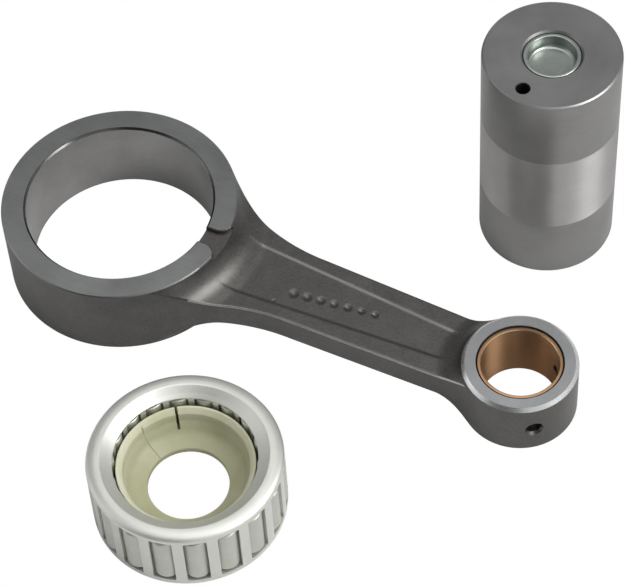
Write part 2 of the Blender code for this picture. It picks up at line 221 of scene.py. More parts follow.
def metal_ground(name, colour, rough=0.32, radial=False, strength=0.10, spread=0.12, metallic=0.95,
                 lines=3.0):
    """Ground or turned face: fine lines, straight or concentric, and a faint cloud."""
    mat, nt, sh = new_material(name)
    vec = position(nt)
    cloud = noise(nt, vec, 0.07, 3.0, 0.5)
    speck = noise(nt, vec, 2.2, 2.0, 0.6)
    a = tuple(v * (1 - spread) for v in colour)
    b = tuple(v * (1 + spread) for v in colour)
    base = ramp(nt, cloud, [(0.30, a), (0.70, b)])
    if radial:
        sep = nt.nodes.new("ShaderNodeSeparateXYZ")
        nt.links.new(vec, sep.inputs[0])
        rr = math_node(nt, "SQRT", math_node(nt, "ADD",
                       math_node(nt, "MULTIPLY", sep.outputs[0], sep.outputs[0]),
                       math_node(nt, "MULTIPLY", sep.outputs[1], sep.outputs[1])), 0.0)
        comb = nt.nodes.new("ShaderNodeCombineXYZ")
        nt.links.new(rr, comb.inputs[0])
        nt.links.new(math_node(nt, "MULTIPLY", sep.outputs[2], 0.2), comb.inputs[2])
        line = noise(nt, comb.outputs[0], lines, 3.0, 0.7)
    else:
        line = noise(nt, position(nt, (0.06, 1.0, 1.0)), lines, 3.0, 0.7)
    tone = ramp(nt, line, [(0.30, (0.93, 0.93, 0.93)), (0.70, (1.07, 1.07, 1.07))])
    nt.links.new(mix_colour(nt, 1.0, base, tone, "MULTIPLY"), sh.inputs["Base Color"])
    sh.inputs["Metallic"].default_value = metallic
    nt.links.new(span(nt, line, rough - 0.05, rough + 0.07), sh.inputs["Roughness"])
    n1 = bump(nt, line, strength, 0.00003)
    n2 = bump(nt, speck, 0.02, 0.00002, n1)
    nt.links.new(n2, sh.inputs["Normal"])
    return mat


def metal_band(name, colour, rough, anis=0.8):
    """Cylindrical grinding: lines run round the axis, so highlights stretch along it."""
    mat, nt, sh = new_material(name)
    vec = position(nt, (0.03, 0.03, 1.0))
    line = noise(nt, vec, 6.0, 3.0, 0.7)
    cloud = noise(nt, position(nt), 0.10, 2.0, 0.5)
    base = ramp(nt, line, [(0.30, tuple(v * 0.92 for v in colour)),
                           (0.70, tuple(v * 1.08 for v in colour))])
    tint = ramp(nt, cloud, [(0.30, (0.95, 0.95, 0.95)), (0.70, (1.05, 1.05, 1.05))])
    nt.links.new(mix_colour(nt, 1.0, base, tint, "MULTIPLY"), sh.inputs["Base Color"])
    sh.inputs["Metallic"].default_value = 0.96
    sh.inputs["Anisotropic"].default_value = anis
    sh.inputs["Anisotropic Rotation"].default_value = 0.25
    tangent = nt.nodes.new("ShaderNodeTangent")
    tangent.direction_type = "RADIAL"
    tangent.axis = "Z"
    nt.links.new(tangent.outputs[0], sh.inputs["Tangent"])
    nt.links.new(span(nt, line, rough - 0.03, rough + 0.05), sh.inputs["Roughness"])
    nt.links.new(bump(nt, line, 0.10, 0.00002), sh.inputs["Normal"])
    return mat


def plastic_cream(name="sleeve_cream"):
    mat, nt, sh = new_material(name)
    vec = position(nt)
    flow = noise(nt, position(nt, (1.0, 1.0, 0.35)), 0.14, 3.0, 0.5)
    fine = noise(nt, vec, 1.8, 3.0, 0.6)
    base = ramp(nt, flow, [(0.28, (0.56, 0.56, 0.38)), (0.50, (0.61, 0.61, 0.45)),
                           (0.74, (0.66, 0.65, 0.51))])
    # painted shade and light: the colour is darker down in the funnel and lighter than the plastic at the rim
    sep = nt.nodes.new("ShaderNodeSeparateXYZ")
    nt.links.new(vec, sep.inputs[0])
    height_shade = ramp(nt, span(nt, sep.outputs[2], 0.0, 1.0, 5.0, 16.0),
                 [(0.0, (0.70, 0.70, 0.62)), (0.45, (0.66, 0.66, 0.58)), (0.75, (0.88, 0.88, 0.86)),
                  (1.0, (1.06, 1.06, 1.06))])
    base = mix_colour(nt, 1.0, base, height_shade, "MULTIPLY")
    tint = ramp(nt, fine, [(0.30, (0.97, 0.97, 0.96)), (0.70, (1.03, 1.03, 1.04))])
    nt.links.new(mix_colour(nt, 1.0, base, tint, "MULTIPLY"), sh.inputs["Base Color"])
    nt.links.new(span(nt, fine, 0.40, 0.55), sh.inputs["Roughness"])
    sh.inputs["Subsurface Weight"].default_value = 0.25
    sh.inputs["Subsurface Radius"].default_value = (0.0018, 0.0016, 0.0010)
    nt.links.new(bump(nt, fine, 0.10, 0.00006), sh.inputs["Normal"])
    return mat


def cage_silver(name="cage_satin"):
    """Silver plate over steel: pale, milky, a little warm-green, faint cloud and pores."""
    mat, nt, sh = new_material(name)
    vec = position(nt)
    cloud = noise(nt, vec, 0.12, 3.0, 0.5)
    fine = noise(nt, vec, 2.4, 3.0, 0.65)
    base = ramp(nt, cloud, [(0.28, (0.68, 0.69, 0.64)), (0.52, (0.71, 0.72, 0.67)),
                            (0.74, (0.74, 0.75, 0.71))])
    tint = ramp(nt, fine, [(0.30, (0.97, 0.97, 0.97)), (0.70, (1.03, 1.03, 1.03))])
    nt.links.new(mix_colour(nt, 1.0, base, tint, "MULTIPLY"), sh.inputs["Base Color"])
    sh.inputs["Metallic"].default_value = 0.82
    nt.links.new(span(nt, fine, 0.36, 0.48), sh.inputs["Roughness"])
    nt.links.new(bump(nt, fine, 0.10, 0.00005), sh.inputs["Normal"])
    return mat


M_FORGED = metal_forged()
# painted highlight: the shank's edge strips are coloured far lighter than the forging, to show a bright line
# along each edge
M_RAIL_HIGHLIGHT = metal_ground("rail_painted_highlight", (0.52, 0.515, 0.50), 0.30, strength=0.03)
# painted highlight: a lighter strip along the far ridge of the shank's recess
M_RIDGE_HIGHLIGHT = metal_ground("ridge_painted_highlight", (0.205, 0.202, 0.194), 0.42, strength=0.05)
M_FACE = metal_ground("big_end_ground", (0.268, 0.273, 0.270), 0.30, strength=0.05)
M_EDGE = metal_ground("chamfer_big_end", (0.21, 0.213, 0.207), 0.33, strength=0.04)
# painted highlight: the small end's chamfer is coloured about twice as light as its face
M_EDGE_SMALL_HIGHLIGHT = metal_ground("chamfer_small_end_painted_highlight", (0.66, 0.665, 0.665), 0.27, strength=0.02)
M_BORE = metal_ground("bore_honed", (0.32, 0.316, 0.31), 0.36, radial=False, lines=2.0)
M_GLINT = metal_ground("bore_mouth", (0.11, 0.11, 0.107), 0.17, strength=0.04, spread=0.3)
# painted shade: near-black for the thin steps at the bore mouths, the small end's bore chamfer and the insides
# of the pin's holes
M_PAINTED_SHADE = metal_ground("painted_shade_black", (0.018, 0.019, 0.017), 0.45, strength=0.04, metallic=0.6)
M_SMALL = metal_ground("small_end_turned", (0.340, 0.346, 0.350), 0.30, radial=True, strength=0.16)
M_BRONZE = metal_ground("bronze_bush", (0.42, 0.25, 0.14), 0.28, radial=True, strength=0.08)
# painted highlight: the bush's bore chamfers are coloured much lighter than the bronze
M_BRONZE_LIP_HIGHLIGHT = metal_ground("bronze_lip_painted_highlight", (0.66, 0.47, 0.29), 0.25, radial=True, strength=0.05)
M_BRONZE_WALL = metal_band("bronze_bore", (0.39, 0.230, 0.125), 0.42, 1.0)
M_PIN_END = metal_ground("pin_matt", (0.240, 0.243, 0.238), 0.42, radial=True, strength=0.06)
M_PIN_EDGE = metal_ground("pin_chamfer", (0.26, 0.264, 0.258), 0.36, strength=0.04)
M_PIN_SIDE = metal_band("pin_side_matt", (0.272, 0.269, 0.262), 0.42, 0.35)
M_PIN_BAND = metal_band("pin_band_ground", (0.44, 0.432, 0.423), 0.40, 1.0)
M_ZINC = metal_ground("zinc_bright", (0.38, 0.412, 0.386), 0.30, radial=True, strength=0.10)
M_CAGE = cage_silver()
# painted shade: near-black for the faces cut by the cage's inner channel
M_CAGE_IN_SHADE = metal_ground("cage_inside_painted_shade", (0.06, 0.061, 0.055), 0.40, metallic=0.7)
M_ROLLER = metal_band("roller_ground", (0.60, 0.61, 0.555), 0.46, 0.3)
M_SLEEVE = plastic_cream()


# ======================================================================= meshes
def finish_mesh(name, verts, faces, mats, indices, at, angle=30.0, weld=2e-7):
    """Mesh object from millimetre coordinates about the point at, smooth by angle.

    The object's origin is at that point, on the axis, so that textures centre there."""
    mesh = bpy.data.meshes.new(name)
    mesh.from_pydata([(x * MM, y * MM, z * MM) for x, y, z in verts], [], faces)
    for m in mats:
        mesh.materials.append(m)
    mesh.polygons.foreach_set("material_index", np.array(indices, np.int32))
    bm = bmesh.new()
    bm.from_mesh(mesh)
    bmesh.ops.remove_doubles(bm, verts=bm.verts, dist=weld)
    bmesh.ops.recalc_face_normals(bm, faces=bm.faces)
    bm.to_mesh(mesh)
    bm.free()
    mesh.update()
    obj = bpy.data.objects.new(name, mesh)
    obj.location = at
    bpy.context.scene.collection.objects.link(obj)
    smooth(obj, angle)
    return obj


def smooth(obj, angle=30.0):
    obj.data.shade_smooth()
    obj.data.set_sharp_from_angle(angle=math.radians(angle))


def lathe(name, profile, steps, at, mats, angle=30.0, closed=True, link=True):
    """Turn a profile about Z.  profile: list of (r, z, material index of the segment that
    follows).  Open profiles start and end on the axis."""
    n = len(profile)
    verts, faces, idx = [], [], []
    for k in range(steps):
        a = math.tau * k / steps
        ca, sa = math.cos(a), math.sin(a)
        for r, z, _ in profile:
            verts.append((r * ca, r * sa, z))
    last = n if closed else n - 1
    for k in range(steps):
        k2 = (k + 1) % steps
        for i in range(last):
            j = (i + 1) % n
            q = [k * n + i, k2 * n + i, k2 * n + j, k * n + j]
            if profile[i][0] < 1e-9:
                q = [k * n + i, k2 * n + j, k * n + j]
            elif profile[j][0] < 1e-9:
                q = [k * n + i, k2 * n + i, k * n + j]
            faces.append(q)
            idx.append(profile[i][2])
    return finish_mesh(name, verts, faces, mats, idx, at, angle)


def rounded(corners, n=5):
    """Profile with rounded corners.  corners: (r, z, radius, material); the material is
    that of the side that follows, the rounding takes the next side's."""
    out = []
    m = len(corners)
    for i, (x, z, rad, mat) in enumerate(corners):
        if rad <= 0:
            out.append((x, z, mat))
            continue
        p = Vector((x, z))
        a = Vector(corners[i - 1][:2]) - p
        b = Vector(corners[(i + 1) % m][:2]) - p
        a.normalize()
        b.normalize()
        half = math.acos(max(-1, min(1, a.dot(b)))) / 2
        d = rad / math.tan(half)
        c = p + (a + b).normalized() * (rad / math.sin(half))
        s, e = p + a * d - c, p + b * d - c
        for k in range(n + 1):
            t = k / n
            v = (s * (1 - t) + e * t)
            v = v.normalized() * rad
            out.append((c.x + v.x, c.y + v.y, mat))
    return out


def box_cutter(verts, faces, outline, d0, d1, origin, deg, up=False):
    """Adds a prism to a cutter: outline in (across, z), pushed radially from d0 to d1."""
    base = len(verts)
    a = math.radians(deg)
    ca, sa = math.cos(a), math.sin(a)
    n = len(outline)
    for d in (d0, d1):
        for (u, z) in outline:
            verts.append((origin[0] + d * ca - u * sa, origin[1] + d * sa + u * ca, z))
    faces.append([base + i for i in range(n)][::-1])
    faces.append([base + n + i for i in range(n)])
    for i in range(n):
        j = (i + 1) % n
        faces.append([base + i, base + j, base + n + j, base + n + i])


def rounded_rect(w, z0, z1, r, n=4):
    pts = []
    for cx, cz, a0 in ((w / 2 - r, z1 - r, 0), (-w / 2 + r, z1 - r, 90), (-w / 2 + r, z0 + r, 180),
                       (w / 2 - r, z0 + r, 270)):
        for k in range(n + 1):
            a = math.radians(a0 + 90 * k / n)
            pts.append((cx + r * math.cos(a), cz + r * math.sin(a)))
    return pts


def drill(verts, faces, radii, origin, deg, z, n=32):
    """Adds a stepped round hole to a cutter: radii is [(distance from origin, radius), ...]
    along a horizontal line at deg degrees."""
    a = math.radians(deg)
    d = Vector((math.cos(a), math.sin(a), 0))
    side = Vector((-math.sin(a), math.cos(a), 0))
    base = len(verts)
    for dist, r in radii:
        for k in range(n):
            t = math.tau * k / n
            p = Vector((origin[0], origin[1], z)) + d * dist + side * (r * math.cos(t)) \
                + Vector((0, 0, r * math.sin(t)))
            verts.append(tuple(p))
    m = len(radii)
    faces.append([base + k for k in range(n)][::-1])
    faces.append([base + (m - 1) * n + k for k in range(n)])
    for i in range(m - 1):
        for k in range(n):
            k2 = (k + 1) % n
            faces.append([base + i * n + k, base + i * n + k2, base + (i + 1) * n + k2,
                          base + (i + 1) * n + k])


def prism_z(verts, faces, outline, z0, z1):
    """Adds an upright prism to a cutter."""
    base, n = len(verts), len(outline)
    for z in (z0, z1):
        for x, y in outline:
            verts.append((x, y, z))
    faces.append([base + i for i in range(n)][::-1])
    faces.append([base + n + i for i in range(n)])
    for i in range(n):
        j = (i + 1) % n
        faces.append([base + i, base + j, base + n + j, base + n + i])


def prism_levels(verts, faces, levels):
    """Adds an upright solid to a cutter, lofted through outlines of equal length:
    levels is [(outline, z), ...] from the bottom up."""
    base, n, m = len(verts), len(levels[0][0]), len(levels)
    for outline, z in levels:
        for x, y in outline:
            verts.append((x, y, z))
    faces.append([base + i for i in range(n)][::-1])
    faces.append([base + (m - 1) * n + i for i in range(n)])
    for k in range(m - 1):
        for i in range(n):
            j = (i + 1) % n
            faces.append([base + k * n + i, base + k * n + j, base + (k + 1) * n + j,
                          base + (k + 1) * n + i])


def cut(obj, verts, faces, at, mat_index=0, angle=30.0):
    """Subtract a cutter and keep the result as plain mesh."""
    mats = list(obj.data.materials)
    cutter = finish_mesh("cutter", verts, faces, mats, [mat_index] * len(faces), at)
    mod = obj.modifiers.new("cut", "BOOLEAN")
    mod.operation = "DIFFERENCE"
    mod.solver = "EXACT"
    mod.object = cutter
    graph = bpy.context.evaluated_depsgraph_get()
    mesh = bpy.data.meshes.new_from_object(obj.evaluated_get(graph))
    obj.modifiers.clear()
    old = obj.data
    obj.data = mesh
    mesh.name = old.name
    bpy.data.meshes.remove(old)
    data = cutter.data
    bpy.data.objects.remove(cutter)
    bpy.data.meshes.remove(data)
    smooth(obj, angle)
    return obj


def arc(cx, cy, r, a0, a1, n):
    return [(cx + r * math.cos(math.radians(a0 + (a1 - a0) * i / n)),
             cy + r * math.sin(math.radians(a0 + (a1 - a0) * i / n))) for i in range(n + 1)]


# ------------------------------------------------------------------ rod forging
def smoothstep(t):
    t = min(1.0, max(0.0, t))
    return t * t * (3 - 2 * t)


def flare(side_r, half_width, flare_r):
    across = half_width + flare_r
    along = math.sqrt((side_r + flare_r) ** 2 - across ** 2)
    return along, across, math.degrees(math.atan2(across, along))


BFX, BFY, BFA = flare(BIG_R, W_BIG, FLARE_BIG)
SFX, SFY, SFA = flare(SMALL_R, W_SMALL, FLARE_SMALL)
OX0 = BIG_R * math.cos(math.radians(BFA))
OX1 = CENTRES - SMALL_R * math.cos(math.radians(SFA))
CH_BIG, CH_SMALL = 0.3, 0.9      # outer chamfers of the two ends
EDGE_R = 0.5         # rounding along the shank's edges


def outline_y(x):
    """Half width of the rod between the two ends' tangent points."""
    if x < BFX:
        return BFY - math.sqrt(max(0.0, FLARE_BIG ** 2 - (BFX - x) ** 2))
    if x > CENTRES - SFX:
        return SFY - math.sqrt(max(0.0, FLARE_SMALL ** 2 - (x - (CENTRES - SFX)) ** 2))
    t = (x - BFX) / (CENTRES - SFX - BFX)
    return W_BIG + (W_SMALL - W_BIG) * t


def level(r, edge_r, edge_z, fillet, floor):
    """Height of a face that falls from (edge_r, edge_z) down a concave fillet to floor."""
    cz = floor + fillet
    cr = edge_r + math.sqrt(fillet ** 2 - (cz - edge_z) ** 2)
    if r >= cr:
        return floor
    return cz - math.sqrt(max(0.0, fillet ** 2 - (cr - max(r, edge_r)) ** 2))


def recess_half(x):
    """Half width of the shank's recess."""
    return 8.3 + (4.7 - 8.3) * (x - 35.0) / 58.0


def face_height(x, y):
    """Upper face of the shank, with its recess, above the mid plane."""
    rb = math.hypot(x, y)
    rs = math.hypot(x - CENTRES, y)
    rail = max(level(rb, BIG_R, BIG_H - CH_BIG, NECK_BIG, SHANK_TOP),
               level(rs, SMALL_R, SMALL_TOP - CH_SMALL, NECK_SMALL, SHANK_TOP))
    floor = max(level(rb, BIG_R, BIG_H - CH_BIG, NECK_BIG + 0.5, SHANK_TOP - RECESS_D),
                level(rs, SMALL_R, SMALL_TOP - CH_SMALL, NECK_SMALL + 0.5, SHANK_TOP - RECESS_D))
    w = smoothstep((recess_half(x) - abs(y)) / 1.15 + 0.5)
    z = rail + (floor - rail) * w
    for mx, my, mr, md in MARK:
        d = math.hypot(x - mx, y - my) / mr
        if d < 1:
            z -= md * (1 - d * d) ** 2
    return z


# plain row of round dimples on the shank, tapering in size, and one small pit
MARK = [(53.0 + 3.7 * k, -2.3 + 0.5 * k, 1.6 - 0.08 * k, 0.46) for k in range(7)]
MARK.append((49.2, -6.5, 0.7, 0.16))


def build_rod():
    NU, WALL = 270, 6
    # columns from one edge of the shank to the other, closer where the recess's edges run
    tail = [1.0, 0.997, 0.991, 0.983, 0.973, 0.960]
    side = list(np.linspace(0.945, 0.64, 13)) + list(np.linspace(0.64, 0.58, 9))[1:] \
        + list(np.linspace(0.58, 0.0, 25))[1:]
    V = tail + side + [-t for t in reversed(side[:-1])] + [-t for t in reversed(tail)]
    NV = len(V)
    M_OUT = 150
    verts, faces, idx = [], [], []
    FORGED, FACE, EDGE, BORE, DARK, SMALL, EDGE_S, GLINT, RAIL_HIGHLIGHT, RIDGE_LIT = range(10)

    def add(p):
        verts.append(p)
        return len(verts) - 1

    def ring(cx, radius, bore, z_top, span_deg, facing, face_mat, chamfer, bore_ch, edge_mat,
             mouth_mat):
        """One end: full ring, with its outer wall open over span_deg towards the shank."""
        other = np.linspace(facing + span_deg, facing + 360 - span_deg, M_OUT + 1)
        other = [a for a in other[1:-1]]
        angles = sorted([facing + v * span_deg for v in V]) + list(other)
        z_bot = 2 * MID - z_top
        wall_z = [z_top - chamfer + (z_bot + chamfer - (z_top - chamfer)) * k / WALL
                  for k in range(WALL + 1)]
        prof = []                                   # (r, z, material of the next side)
        flat = np.linspace(bore + bore_ch, radius - chamfer, 6)
        step = 0.12                                 # thin step inside the face's edge, painted near-black as shade
        prof += [(bore, z_top - bore_ch, mouth_mat), (bore + bore_ch - step, z_top - step, DARK)]
        prof += [(bore + bore_ch, z_top, face_mat)]
        prof += [(r, z_top, face_mat) for r in flat[1:-1]]
        prof += [(radius - chamfer, z_top, edge_mat)]
        wall_start = len(prof)
        prof += [(radius, z, FORGED) for z in wall_z[:-1]]
        prof += [(radius, wall_z[-1], edge_mat)]
        wall_end = len(prof) - 1
        prof += [(radius - chamfer, z_bot, face_mat)]
        prof += [(r, z_bot, face_mat) for r in flat[::-1][1:-1]]
        prof += [(bore + bore_ch, z_bot, DARK), (bore + bore_ch - step, z_bot + step, mouth_mat)]
        prof += [(bore, z_bot + bore_ch, BORE)]
        n = len(prof)
        base = len(verts)
        for a in angles:
            ca, sa = math.cos(math.radians(a)), math.sin(math.radians(a))
            for r, z, _ in prof:
                add((cx + r * ca, r * sa, z))
        count = len(angles)
        for k in range(count):
            k2 = (k + 1) % count
            in_strip = k < NV - 1
            for i in range(n):
                if in_strip and wall_start <= i < wall_end:
                    continue
                j = (i + 1) % n
                faces.append([base + k * n + i, base + k2 * n + i, base + k2 * n + j,
                              base + k * n + j])
                idx.append(prof[i][2])

    ring(0.0, BIG_R, BIG_BORE, BIG_H, BFA, 0.0, FACE, CH_BIG, 0.55, EDGE, GLINT)
    # the small end's bore chamfer takes the near-black painted shade
    ring(CENTRES, SMALL_R, SMALL_BORE, SMALL_TOP, SFA, 180.0, SMALL, CH_SMALL, 0.12, EDGE_S, DARK)

    # the shank between the rings
    tb, ts = math.radians(BFA), math.radians(SFA)
    us = [i / NU for i in range(NU + 1)]
    grid_top, grid_bot = [], []
    for u in us:
        ox = OX0 + (OX1 - OX0) * u
        oy = BIG_R * math.sin(tb) if u == 0 else (SMALL_R * math.sin(ts) if u == 1 else outline_y(ox))
        # slope of the outline, to measure distance square to it
        e = 0.01
        slope = (outline_y(min(OX1, ox + e)) - outline_y(max(OX0, ox - e))) / (2 * e)
        square = 1 / math.sqrt(1 + slope * slope)
        fade = smoothstep(u / 0.05) * smoothstep((1 - u) / 0.06)
        follow = smoothstep(u / 0.14) * smoothstep((1 - u) / 0.10)
        row_t, row_b = [], []
        for v in V:
            s0 = math.sin(v * tb) / math.sin(tb)
            s1 = math.sin(v * ts) / math.sin(ts)
            b0 = BIG_R * (math.cos(v * tb) - math.cos(tb))
            b1 = -SMALL_R * (math.cos(v * ts) - math.cos(ts))
            x = ox + b0 * (1 - u) ** 3 + b1 * u ** 4
            half = recess_half(x)
            along = float(np.interp(abs(v), [0.0, 0.58, 0.64, 0.945, 1.0],
                                    [0.0, (half - 0.6) / oy, (half + 0.6) / oy, 0.945, 1.0]))
            s = (s0 * (1 - u) + s1 * u) * (1 - follow) + math.copysign(along, v) * follow
            y = oy * s
            if u == 0:
                z = BIG_H - CH_BIG
            elif u == 1:
                z = SMALL_TOP - CH_SMALL
            else:
                z = face_height(x, y)
                d = max(0.0, (oy - abs(y)) * square)
                if d < EDGE_R:
                    z -= fade * (EDGE_R - math.sqrt(EDGE_R ** 2 - (EDGE_R - d) ** 2))
            row_t.append(add((x, y, z)))
            row_b.append(add((x, y, 2 * MID - z)))
        grid_top.append(row_t)
        grid_bot.append(row_b)
    for i in range(NU):
        for j in range(NV - 1):
            faces.append([grid_top[i][j], grid_top[i + 1][j], grid_top[i + 1][j + 1], grid_top[i][j + 1]])
            # the strips along both edges of the shank's upper face take the painted-highlight colour
            rail_lit = abs(V[j] + V[j + 1]) / 2 > 0.974 and 0.10 < i / NU < 0.97
            # one strip at the recess's far ridge takes a lighter colour as a painted highlight
            ridge_lit = 0.592 < (V[j] + V[j + 1]) / 2 < 0.628 and 0.15 < i / NU < 0.88
            idx.append(RAIL_HIGHLIGHT if rail_lit else (RIDGE_LIT if ridge_lit else FORGED))
            faces.append([grid_bot[i][j], grid_bot[i][j + 1], grid_bot[i + 1][j + 1], grid_bot[i + 1][j]])
            idx.append(FORGED)
    for j in (0, NV - 1):
        cols = []
        for i in range(NU + 1):
            xt, yt, zt = verts[grid_top[i][j]]
            zb = verts[grid_bot[i][j]][2]
            col = [grid_top[i][j]]
            col += [add((xt, yt, zt + (zb - zt) * k / WALL)) for k in range(1, WALL)]
            col += [grid_bot[i][j]]
            cols.append(col)
        for i in range(NU):
            for k in range(WALL):
                faces.append([cols[i][k], cols[i][k + 1], cols[i + 1][k + 1], cols[i + 1][k]])
                idx.append(FORGED)
    rod = finish_mesh("rod_body", verts, faces, [M_FORGED, M_FACE, M_EDGE, M_BORE, M_PAINTED_SHADE, M_SMALL,
                                                 M_EDGE_SMALL_HIGHLIGHT, M_GLINT, M_RAIL_HIGHLIGHT, M_RIDGE_HIGHLIGHT],
                      idx, BIG_AT, weld=2e-6)

    # oil grooves in the big end faces, and the oil holes of the small end
    cv, cf = [], []
    w = 2.5

    def groove(d):
        """Plan of the groove, grown by d, with its flare towards the neck."""
        g = [(22.0, w + d)] + arc(27.4, w + 3.6, 3.6 - d, -90, -8, 12) + [(36.5, w + 3.7 + d)]
        return g + [(x, -y) for x, y in reversed(g)]

    e = 0.25                                        # broken edge along the groove
    prism_levels(cv, cf, [(groove(0), BIG_H - 1.3), (groove(0), BIG_H - e),
                          (groove(2 * e), BIG_H + e), (groove(2 * e), BIG_H + 2)])
    prism_levels(cv, cf, [(groove(2 * e), -2), (groove(2 * e), -e), (groove(0), e),
                          (groove(0), 1.3)])
    for deg in (-51.0, 45.0):
        drill(cv, cf, [(9.0, 2.0), (14.2, 2.0), (15.3, 2.75), (18.0, 2.75)], (CENTRES, 0), deg, MID)
    cut(rod, cv, cf, BIG_AT, 0)
    return rod


ROD = build_rod()
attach(ROD, "rod")
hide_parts("rod_forging")

# ------------------------------------------------------------------------- bush
t, b = MID + 8.7, MID - 8.7
BUSH = lathe("bush", rounded([
    (10.9, t, 0.10, 0), (10.9, b, 0.10, 0), (10.2, b, 0.0, 1), (10.0, b + 0.25, 0.0, 2),
    (10.0, t - 0.25, 0.0, 1), (10.2, t, 0.0, 0)], 3), 160, SMALL_AT,
    [M_BRONZE, M_BRONZE_LIP_HIGHLIGHT, M_BRONZE_WALL])
cv, cf = [], []
for deg in (-51.0, 45.0):
    drill(cv, cf, [(8.0, 1.6), (13.0, 1.6)], (0, 0), deg, MID)
cut(BUSH, cv, cf, SMALL_AT, 0)
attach(BUSH, "rod")
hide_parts("small_end_bush")

# -------------------------------------------------------------------- crank pin
# the pin's bore wall and oil holes (HOLE) take the near-black painted shade
END, SIDE, BAND, EDGE_M, HOLE = range(5)
PIN = lathe("pin", [
    (8.1, PIN_H, END), (12.0, PIN_H, END), (PIN_R - 0.55, PIN_H, EDGE_M), (PIN_R - 0.12, PIN_H - 0.30, EDGE_M),
    (PIN_R, PIN_H - 0.7, SIDE), (PIN_R, 56.0, SIDE), (PIN_R, 45.8, BAND), (PIN_R, 37.0, BAND),
    (PIN_R, 28.0, BAND), (PIN_R, 19.8, SIDE), (PIN_R, 10.0, SIDE), (PIN_R, 0.7, EDGE_M),
    (PIN_R - 0.12, 0.30, EDGE_M), (PIN_R - 0.55, 0.0, END), (12.0, 0.0, END), (8.1, 0.0, END),
    (7.6, 0.5, HOLE), (7.6, PIN_H - 0.5, END)], 192, PIN_AT,
    [M_PIN_END, M_PIN_SIDE, M_PIN_BAND, M_PIN_EDGE, M_PAINTED_SHADE])
cv, cf = [], []
oa = -98.5
ox, oy = 13.6 * math.cos(math.radians(oa)), 13.6 * math.sin(math.radians(oa))
hole = []
base = len(cv)
for z, r in ((PIN_H / 2 - 1.5, 1.75), (PIN_H - 0.2, 1.75), (PIN_H, 1.95), (PIN_H + 2, 1.95)):
    for k in range(36):
        a = math.tau * k / 36
        cv.append((ox + r * math.cos(a), oy + r * math.sin(a), z))
cf.append([base + k for k in range(36)][::-1])
cf.append([base + 3 * 36 + k for k in range(36)])
for i in range(3):
    for k in range(36):
        k2 = (k + 1) % 36
        cf.append([base + i * 36 + k, base + i * 36 + k2, base + (i + 1) * 36 + k2, base + (i + 1) * 36 + k])
cut(PIN, cv, cf, PIN_AT, HOLE)
cv, cf = [], []
drill(cv, cf, [(-13.6, 1.5), (17.4, 1.5), (18.2, 2.2), (20.0, 2.2)], (0, 0), oa + 180.0, PIN_H / 2)
cut(PIN, cv, cf, PIN_AT, HOLE)
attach(PIN, "pin")
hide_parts("crank_pin")


def cup(name, node_name, flip):
    """Pressed cup plug with rolled rim and radiused floor."""
    top = PIN_H - 0.4
    pts = rounded([(0.0, top - 3.8, 0, 0), (6.3, top - 3.8, 1.1, 0), (6.3, top, 0.3, 0),
                   (7.45, top, 0.35, 0), (7.45, top - 5.0, 0.9, 0), (0.0, top - 5.0, 0, 0)], 6)
    if flip:
        pts = [(r, PIN_H - z, m) for r, z, m in reversed(pts)]
    obj = lathe(name, pts, 96, PIN_AT, [M_ZINC], closed=False, angle=50.0)
    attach(obj, "pin")
    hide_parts(node_name)
    return obj


cup("plug_upper", "pin_plug_top", False)
cup("plug_lower", "pin_plug_bottom", True)

# ------------------------------------------------------------------------- cage
CAGE_H, CAGE_R = 20.8, 24.9
prof = []
for k in range(11):
    a = math.radians(9.0 * k)
    prof.append((22.3 + 2.6 * math.sin(a), CAGE_H - 1.5 + 1.5 * math.cos(a), 0))
prof += rounded([(CAGE_R, CAGE_H - 3.0, 0, 0), (CAGE_R, 0.0, 0.5, 0), (19.55, 0.0, 0.25, 0),
                 (18.35, 1.6, 0.2, 0), (18.35, CAGE_H - 1.95, 0.15, 0), (19.5, CAGE_H - 1.25, 0.4, 0),
                 (21.3, CAGE_H, 0.8, 0), (22.0, CAGE_H, 0, 0)], 7)
CAGE = lathe("cage", prof, 216, BEARING_AT, [M_CAGE, M_CAGE_IN_SHADE], angle=35.0)
cv, cf = [], []
base = 0
steps = 216
loop = [(23.7, CAGE_H - 2.2), (23.7, 2.2), (18.75, 2.2), (18.75, CAGE_H - 2.2)]
for k in range(steps):
    a = math.tau * k / steps
    for r, z in loop:
        cv.append((r * math.cos(a), r * math.sin(a), z))
for k in range(steps):
    k2 = (k + 1) % steps
    for i in range(4):
        j = (i + 1) % 4
        cf.append([k * 4 + i, k2 * 4 + i, k2 * 4 + j, k * 4 + j])
# the channel's cut faces take the near-black painted shade
cut(CAGE, cv, cf, BEARING_AT, 1, 35.0)
cv, cf = [], []
for k in range(ROLLERS):
    deg = FIRST_ROLLER + 20.0 * k
    box_cutter(cv, cf, rounded_rect(5.85, 1.8, CAGE_H - 2.0, 0.5), 22.9, 26.0, (0, 0), deg)
    box_cutter(cv, cf, rounded_rect(4.8, 2.25, CAGE_H - 2.25, 0.5), 17.5, 19.3, (0, 0), deg)
cut(CAGE, cv, cf, BEARING_AT, 0, 35.0)
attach(CAGE, "cage")
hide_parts("bearing_cage")

# ---------------------------------------------------------------------- rollers
for k in range(ROLLERS):
    name = f"roller_{k + 1:02d}"
    a = math.radians(FIRST_ROLLER + 20.0 * k)
    at = BEARING_AT + Vector((PITCH_R * math.cos(a), PITCH_R * math.sin(a), 2.7)) * MM
    pts = rounded([(0.0, 15.4, 0, 0), (2.2, 15.4, 0, 0), (3.5, 15.3, 0.45, 0), (3.5, 0.1, 0.45, 0),
                   (2.2, 0.0, 0, 0), (0.0, 0.0, 0, 0)], 5)
    obj = lathe("needle_" + name[-2:], pts, 48, at, [M_ROLLER], closed=False, angle=35.0)
    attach(obj, name + "_body")
    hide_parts(name)

